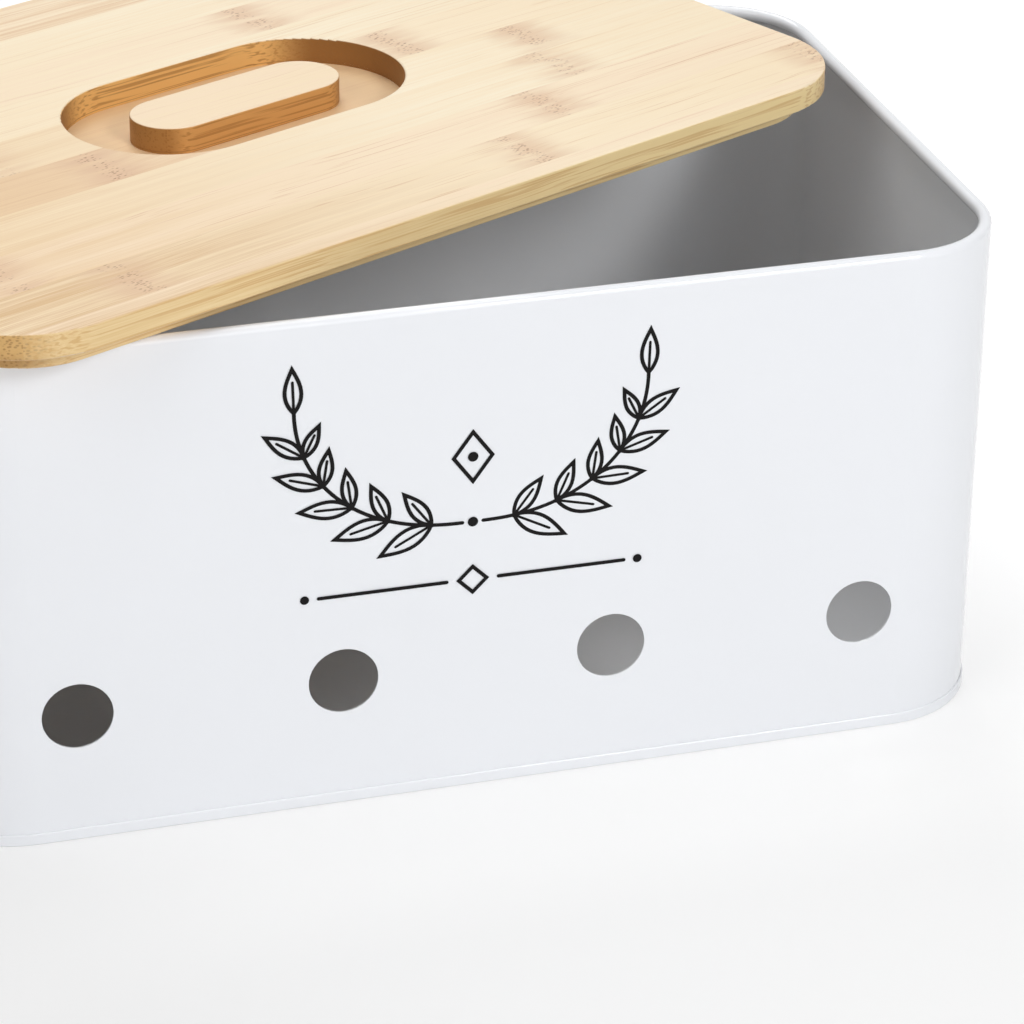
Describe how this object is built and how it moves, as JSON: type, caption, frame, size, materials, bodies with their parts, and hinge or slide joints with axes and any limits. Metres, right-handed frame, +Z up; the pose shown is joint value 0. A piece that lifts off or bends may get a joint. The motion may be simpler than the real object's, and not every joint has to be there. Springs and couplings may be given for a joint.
{
  "type": "lidded storage bin",
  "caption": "Low rounded-rectangle steel kitchen bin with a rolled rim, round vent holes low in its front, and a loose bamboo lid with an oval grip recess, lying askew.",
  "frame": {"origin": "middle of the bottom pan's flat underside", "axes": "+X along the long side, to the right of someone who faces the vents; +Y towards the back; +Z up. The vented front faces -Y."},
  "size_m": [0.3738, 0.3052, 0.1636],
  "materials": {
    "wall_paint": "gloss white outside, gloss grey inside",
    "pan_paint": "gloss white outside, gloss grey inside",
    "bamboo_upper": "satin, clear sealed bamboo",
    "bamboo_lower": "satin, clear sealed bamboo"
  },
  "bodies": {
    "bin": {"bin_wall": "wall_paint", "bottom_pan": "pan_paint"},
    "lid": {"grip_strip_back": "bamboo_upper", "grip_strip_front": "bamboo_upper", "lower_strip_01": "bamboo_lower", "lower_strip_02": "bamboo_lower", "lower_strip_03": "bamboo_lower", "lower_strip_04": "bamboo_lower", "lower_strip_05": "bamboo_lower", "lower_strip_06": "bamboo_lower", "lower_strip_07": "bamboo_lower", "lower_strip_08": "bamboo_lower", "lower_strip_09": "bamboo_lower", "lower_strip_10": "bamboo_lower", "upper_strip_01": "bamboo_upper", "upper_strip_02": "bamboo_upper", "upper_strip_03": "bamboo_upper", "upper_strip_04": "bamboo_upper", "upper_strip_05_left": "bamboo_upper", "upper_strip_05_right": "bamboo_upper", "upper_strip_06_left": "bamboo_upper", "upper_strip_06_right": "bamboo_upper", "upper_strip_07": "bamboo_upper", "upper_strip_08": "bamboo_upper", "upper_strip_09": "bamboo_upper", "upper_strip_10": "bamboo_upper"}
  },
  "joints": [
    {"name": "lid_lift", "type": "slide", "parent": "bin", "child": "lid", "axis": [0, 0, 1], "range_m": [0, 0.16]}
  ]
}
